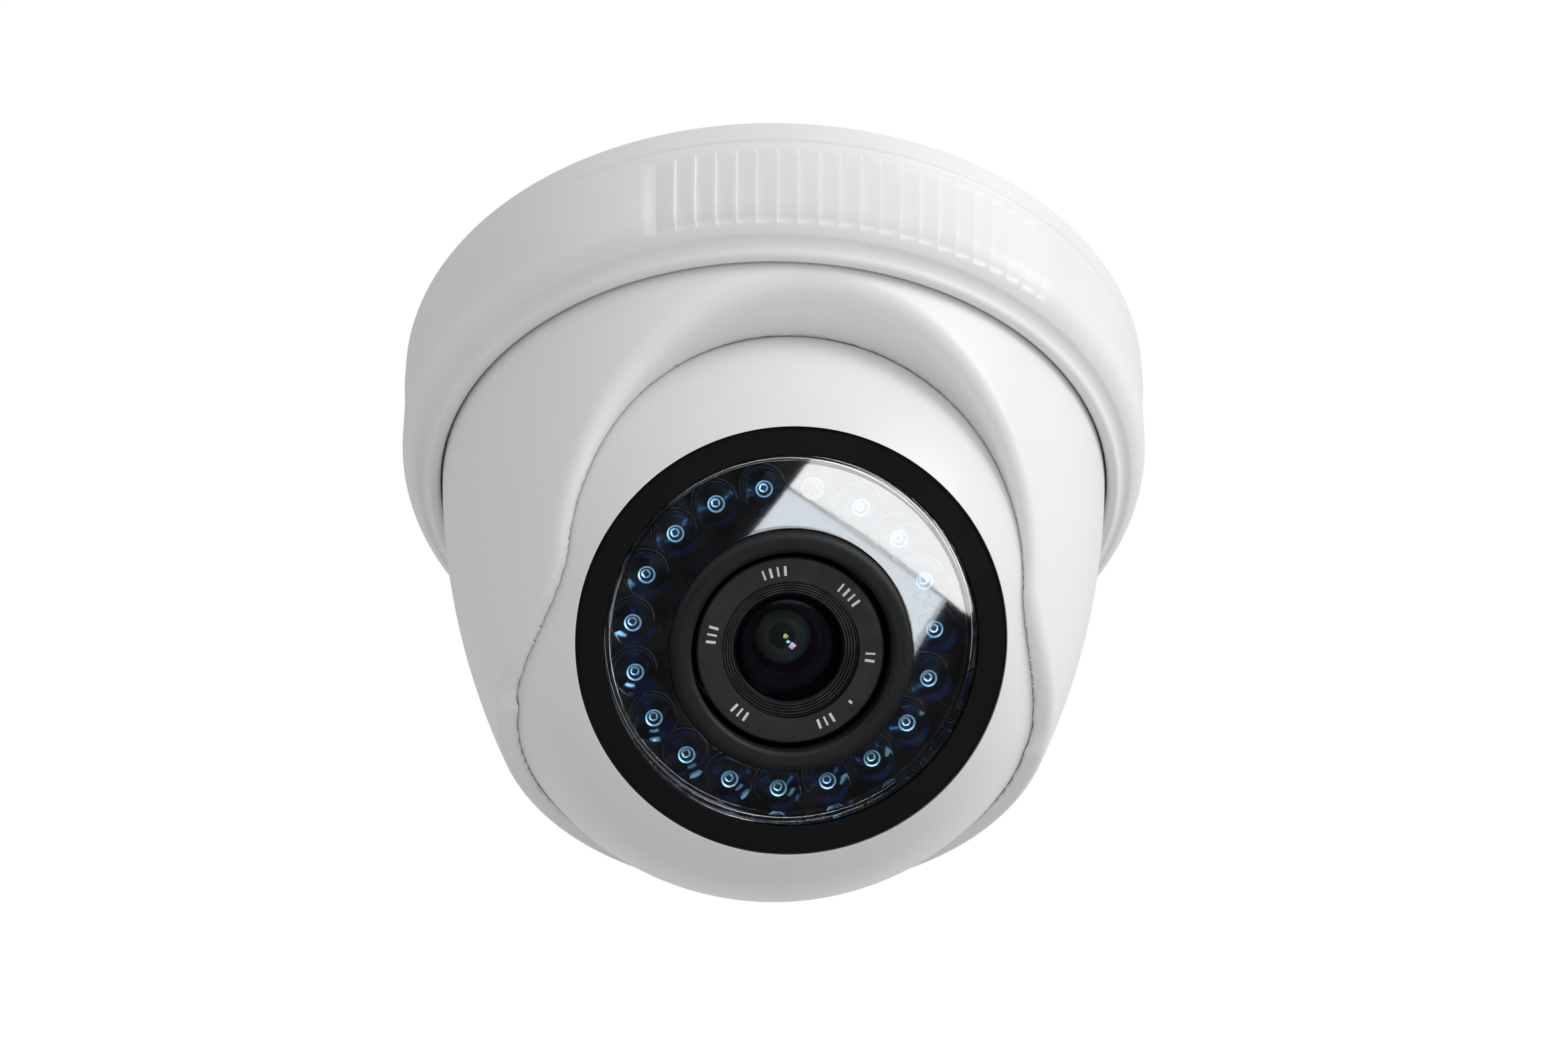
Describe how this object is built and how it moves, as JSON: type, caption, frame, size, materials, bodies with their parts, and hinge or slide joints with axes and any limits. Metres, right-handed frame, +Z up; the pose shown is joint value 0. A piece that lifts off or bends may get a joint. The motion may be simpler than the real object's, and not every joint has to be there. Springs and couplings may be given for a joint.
{
  "type": "dome cctv camera",
  "caption": "Ceiling dome camera: round base with ribbed twist-lock ring, panning collar with an arched cut-out, and a tilting, rolling eyeball with an infrared lamp ring and focusing lens.",
  "frame": {"origin": "centre of the cable hole in the ceiling face of the mounting plate", "axes": "+Z up into the ceiling, the camera hangs in -Z; the collar's arch opens toward -Y; +X is to the right seen from the front"},
  "size_m": [0.094, 0.094, 0.0727],
  "materials": {
    "white_plastic": "satin injection-moulded ABS, fine spark texture",
    "grey_plastic": "moulded POM",
    "black_rubber": "satin moulded rubber",
    "black_gloss": "gloss black border",
    "black_matte": "matt black moulded plastic",
    "clear_window": "clear polycarbonate",
    "circuit_board": "solder-masked fibreglass",
    "screw_steel": "zinc-plated steel",
    "lamp_epoxy": "blue-tinted clear epoxy",
    "lamp_leadframe": "silver-plated leadframe",
    "photocell_face": "cadmium sulphide face under clear lacquer",
    "sensor_glass": "sensor cover glass",
    "filter_glass": "coated filter glass",
    "coil_body": "enamelled winding in a bobbin",
    "brass": "turned brass",
    "connector_nylon": "natural nylon",
    "black_metal": "black anodised aluminium, satin",
    "label_black": "fine-turned black face with white tick marks",
    "lens_glass": "multi-coated optical glass"
  },
  "bodies": {
    "base": {"mounting_plate": "white_plastic", "cable_grommet": "black_rubber"},
    "trim_ring": {"trim_ring": "white_plastic"},
    "collar": {"collar_cover": "white_plastic", "clamp_ring": "grey_plastic", "clamp_screws": "screw_steel", "friction_ring": "black_rubber"},
    "ball_rear": {"rear_shell": "white_plastic", "rear_grommet": "black_rubber"},
    "eyeball": {"front_shell": "white_plastic", "swivel_retainer": "grey_plastic", "swivel_screws": "screw_steel", "window_gasket": "black_rubber", "bezel_ring": "black_gloss", "front_window": "clear_window", "led_holder": "black_matte", "led_board": "circuit_board", "led_board_screws": "screw_steel", "led_lamps": "lamp_epoxy", "led_cups": "lamp_leadframe", "photocell": "photocell_face", "lens_shroud": "black_rubber", "sensor_board": "circuit_board", "image_sensor": "sensor_glass", "lens_holder": "black_matte", "filter_coil": "coil_body", "front_standoffs": "brass", "rear_standoffs": "brass", "io_board": "circuit_board", "board_screws": "screw_steel", "board_header": "black_matte", "video_connector": "connector_nylon", "board_chips": "black_matte"},
    "filter": {"filter_frame": "black_matte", "filter_glasses": "filter_glass"},
    "lens": {"lens_barrel": "black_metal", "lens_label_ring": "label_black", "front_lens": "lens_glass", "middle_lens": "lens_glass", "aperture_stop": "black_metal", "rear_lens": "lens_glass", "focus_lock_nut": "black_metal"}
  },
  "joints": [
    {"name": "ring_twist", "type": "hinge", "parent": "base", "child": "trim_ring", "pos_m": [0, 0, -0.01], "axis": [0, 0, 1], "range_deg": [0, 26]},
    {"name": "collar_pan", "type": "hinge", "parent": "base", "child": "collar", "pos_m": [0, 0, -0.016], "axis": [0, 0, 1], "range_deg": [-172, 172]},
    {"name": "ball_tilt", "type": "hinge", "parent": "collar", "child": "ball_rear", "pos_m": [0, 0, -0.0372], "axis": [1, 0, 0], "range_deg": [-33.5, 41.5]},
    {"name": "ball_roll", "type": "hinge", "parent": "ball_rear", "child": "eyeball", "pos_m": [0, 0, -0.0372], "axis": [0, -0.6626, -0.749], "range_deg": [-175, 175]},
    {"name": "lens_focus", "type": "hinge", "parent": "eyeball", "child": "lens", "pos_m": [0, 0.00082, -0.03793], "axis": [0, -0.6626, -0.749], "range_deg": [-180, 180]},
    {"name": "filter_slide", "type": "slide", "parent": "eyeball", "child": "filter", "axis": [-1, 0, 0], "range_m": [0, 0.0068]}
  ]
}
